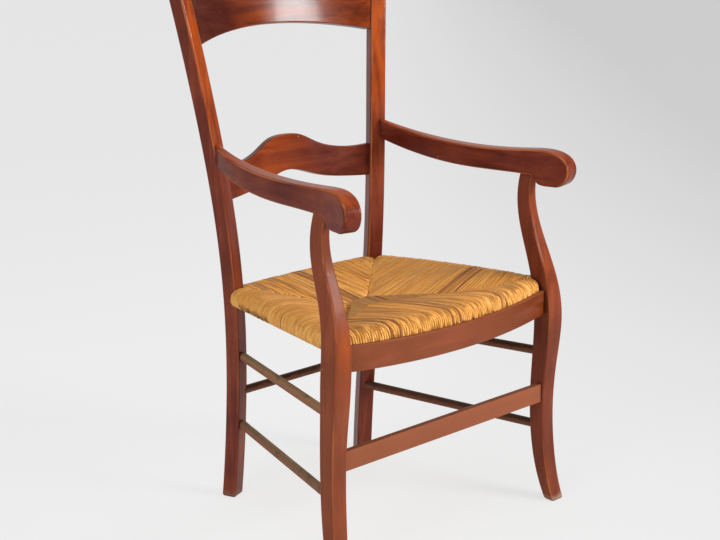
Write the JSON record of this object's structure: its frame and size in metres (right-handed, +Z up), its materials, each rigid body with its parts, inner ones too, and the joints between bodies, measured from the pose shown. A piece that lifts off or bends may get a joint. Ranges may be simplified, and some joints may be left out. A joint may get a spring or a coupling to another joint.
{
  "type": "rush seat armchair",
  "caption": "Wooden armchair with raked curved back posts, bowed crest, humped lower rail, S-shaped arms ending in rolled knuckles, sabre front legs, rod stretchers and a woven rush seat.",
  "frame": {"origin": "on the floor, under the middle of the chair's bounding box", "axes": "+Z up, -Y the way the sitter faces, +X the sitter's left"},
  "size_m": [0.5898, 0.5678, 0.988],
  "materials": {
    "varnished_wood": "satin varnish, worn on the edges",
    "worn_rod_wood": "worn varnish",
    "bare_wood": "unfinished",
    "rush": "dry twisted rush, slight sheen",
    "stuffing": "dry packed rush"
  },
  "bodies": {
    "root": {"back_post_left": "varnished_wood", "back_post_right": "varnished_wood", "front_leg_left": "varnished_wood", "front_leg_right": "varnished_wood", "arm_left": "varnished_wood", "arm_right": "varnished_wood", "crest_rail": "varnished_wood", "lower_back_rail": "varnished_wood", "seat_apron": "varnished_wood", "front_stretcher": "varnished_wood", "side_stretcher_upper_left": "worn_rod_wood", "side_stretcher_upper_right": "worn_rod_wood", "side_stretcher_lower_left": "worn_rod_wood", "side_stretcher_lower_right": "worn_rod_wood", "back_stretcher": "worn_rod_wood", "seat_rail_front": "bare_wood", "seat_rail_back": "bare_wood", "seat_rail_left": "bare_wood", "seat_rail_right": "bare_wood", "rush_seat": "rush", "rush_stuffing": "stuffing"}
  },
  "joints": []
}
